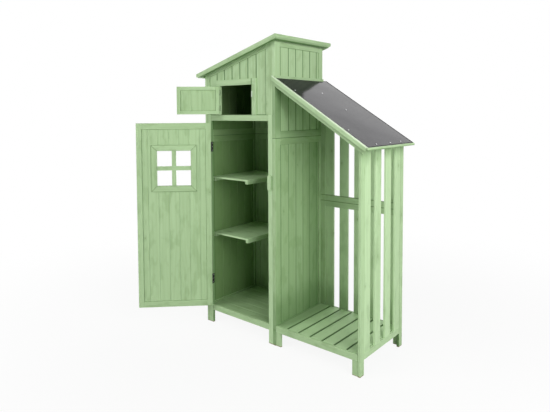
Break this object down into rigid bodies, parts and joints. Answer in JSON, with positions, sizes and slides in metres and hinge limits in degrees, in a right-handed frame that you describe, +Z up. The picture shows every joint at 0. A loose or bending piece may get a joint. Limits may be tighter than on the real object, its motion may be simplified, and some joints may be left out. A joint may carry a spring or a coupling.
{
  "type": "tool shed",
  "caption": "Painted timber garden tool shed: a tall shelved cupboard with a windowed plank door and a loft hatch, and a slatted lean-to rack under a felted roof.",
  "frame": {"origin": "middle of the underside of the front left foot, which is the left wall's front stile", "axes": "+X to the right along the front, +Y from the front to the back, +Z up"},
  "size_m": [1.4389, 0.8684, 1.7813],
  "materials": {
    "green_paint": "matte sage green paint over planed softwood",
    "roofing_felt": "mineral felt, matte",
    "black_steel": "black, satin",
    "zinc_screws": "zinc plated",
    "pale_plastic": "off-white, satin"
  },
  "bodies": {
    "shed": {"back_fence_lower_frame": "green_paint", "back_fence_lower_slats": "green_paint", "back_fence_upper_frame": "green_paint", "back_fence_upper_slats": "green_paint", "back_wall_lower_frame": "green_paint", "back_wall_lower_planks": "green_paint", "back_wall_upper_frame": "green_paint", "back_wall_upper_planks": "green_paint", "barge_board": "green_paint", "button_screws": "zinc_screws", "cabinet_floor": "green_paint", "door_hinge_fixed_leaves": "black_steel", "eave_strip": "green_paint", "end_fence_posts": "green_paint", "end_fence_rails": "green_paint", "end_fence_slats": "green_paint", "floor_bearers": "green_paint", "front_fascia": "green_paint", "front_lintel": "green_paint", "front_posts": "green_paint", "front_sill": "green_paint", "gable_frame": "green_paint", "gable_planks": "green_paint", "hatch_hinge_fixed_leaves": "black_steel", "hatch_trim": "green_paint", "hinge_pins": "black_steel", "left_wall_lower_frame": "green_paint", "left_wall_lower_planks": "green_paint", "left_wall_upper_frame": "green_paint", "left_wall_upper_planks": "green_paint", "loft_floor": "green_paint", "rack_bearers": "green_paint", "rack_floor_boards": "green_paint", "rack_front_rail": "green_paint", "rack_legs": "green_paint", "rack_rafter": "green_paint", "rack_roof_deck": "green_paint", "rack_roof_felt": "roofing_felt", "right_fascia": "green_paint", "right_wall_lower_frame": "green_paint", "right_wall_lower_planks": "green_paint", "right_wall_upper_frame": "green_paint", "right_wall_upper_planks": "green_paint", "roof_edgings": "green_paint", "shelf_battens": "green_paint", "shelves": "green_paint", "tall_roof_deck": "green_paint", "tall_roof_felt": "roofing_felt", "wall_strip": "green_paint"},
    "door": {"door_frame": "green_paint", "door_planks": "green_paint", "window_trim_outer": "green_paint", "window_trim_inner": "green_paint", "window_bars": "green_paint", "door_hinge_leaves": "black_steel"},
    "hatch": {"hatch_frame": "green_paint", "hatch_planks": "green_paint", "hatch_hinge_leaves": "black_steel"},
    "door_turn_button": {"door_button": "green_paint"},
    "hatch_turn_button": {"hatch_button": "pale_plastic"}
  },
  "joints": [
    {"name": "door_hinge", "type": "hinge", "parent": "shed", "child": "door", "pos_m": [0.0447, -0.028, 0.7], "axis": [0, 0, -1], "range_deg": [-135, 45]},
    {"name": "hatch_hinge", "type": "hinge", "parent": "shed", "child": "hatch", "pos_m": [0.1267, -0.032, 1.42], "axis": [0, 0, -1], "range_deg": [-135, 45]},
    {"name": "door_button_turn", "type": "hinge", "parent": "shed", "child": "door_turn_button", "pos_m": [0.5275, -0.03, 0.944], "axis": [0, -1, 0], "range_deg": [-90, 90]},
    {"name": "hatch_button_turn", "type": "hinge", "parent": "shed", "child": "hatch_turn_button", "pos_m": [0.3945, -0.03, 1.456], "axis": [0, -1, 0], "range_deg": [-90, 90]}
  ]
}
